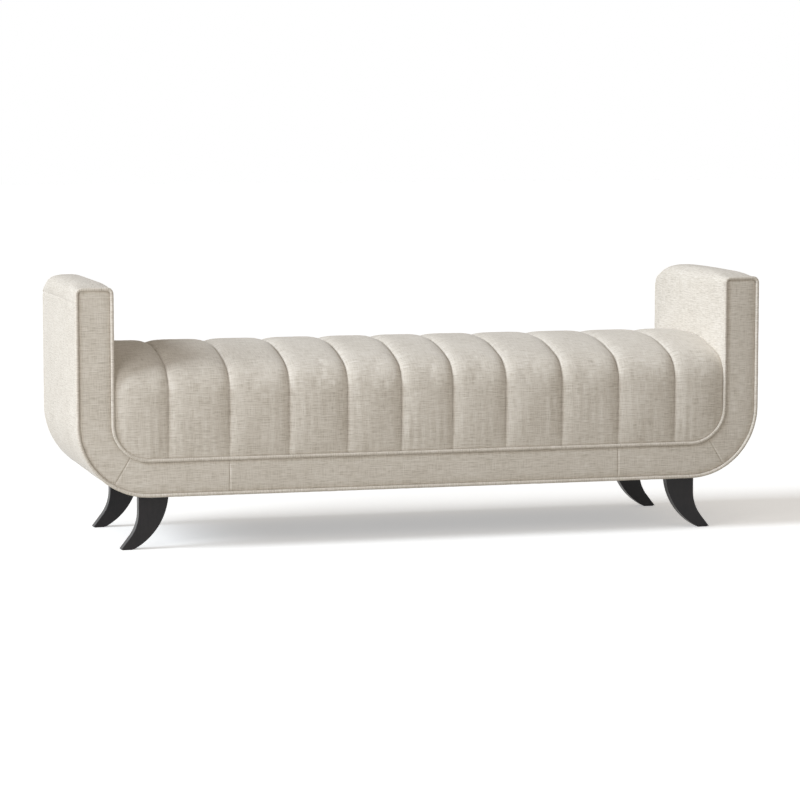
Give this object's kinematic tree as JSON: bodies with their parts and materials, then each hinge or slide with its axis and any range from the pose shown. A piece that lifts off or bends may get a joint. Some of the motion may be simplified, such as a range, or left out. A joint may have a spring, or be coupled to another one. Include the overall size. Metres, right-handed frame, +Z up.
{
  "type": "upholstered bench",
  "caption": "Long upholstered bench with upright arms in one U-shaped welted band, a channel-sewn seat that rolls over its edges, and black sabre legs.",
  "frame": {"origin": "on the floor, under the middle of the bench", "axes": "+X along the bench, to the right seen from the front; +Y from front to rear; +Z up"},
  "size_m": [1.829, 0.542, 0.674],
  "materials": {
    "linen": "matte",
    "foam": "matte",
    "black_lacquer": "satin",
    "felt": "matte",
    "lining_cloth": "matte",
    "steel": "satin",
    "hardboard": "matte",
    "plywood": "matte",
    "frame_wood": "matte"
  },
  "bodies": {
    "root": {"cross_rails": "frame_wood", "deck_sheet": "lining_cloth", "dust_cover": "lining_cloth", "foot_pads": "felt", "frame_screws": "steel", "front_facing_board": "plywood", "front_facing_padding": "foam", "front_middle_facing": "linen", "front_rail": "plywood", "front_underside_strip": "linen", "front_welt": "linen", "glue_blocks": "frame_wood", "left_arm_cover": "linen", "left_arm_lower_rail": "frame_wood", "left_arm_padding": "foam", "left_arm_top_rail": "frame_wood", "left_front_arm_facing": "linen", "left_front_leg": "black_lacquer", "left_front_lower_facing": "linen", "left_front_upright": "plywood", "left_inside_arm_board": "hardboard", "left_leg_board": "frame_wood", "left_outside_arm_board": "hardboard", "left_outside_arm_cover": "linen", "left_outside_arm_padding": "foam", "left_rear_arm_facing": "linen", "left_rear_leg": "black_lacquer", "left_rear_lower_facing": "linen", "left_rear_upright": "plywood", "leg_bolts": "steel", "leg_plate_screws": "steel", "leg_plates": "steel", "rear_facing_board": "plywood", "rear_facing_padding": "foam", "rear_middle_facing": "linen", "rear_rail": "plywood", "rear_underside_strip": "linen", "rear_welt": "linen", "right_arm_cover": "linen", "right_arm_lower_rail": "frame_wood", "right_arm_padding": "foam", "right_arm_top_rail": "frame_wood", "right_front_arm_facing": "linen", "right_front_leg": "black_lacquer", "right_front_lower_facing": "linen", "right_front_upright": "plywood", "right_inside_arm_board": "hardboard", "right_leg_board": "frame_wood", "right_outside_arm_board": "hardboard", "right_outside_arm_cover": "linen", "right_outside_arm_padding": "foam", "right_rear_arm_facing": "linen", "right_rear_leg": "black_lacquer", "right_rear_lower_facing": "linen", "right_rear_upright": "plywood", "seat_cover": "linen", "seat_foam": "foam", "sinuous_springs": "steel", "spring_clips": "steel"}
  },
  "joints": []
}
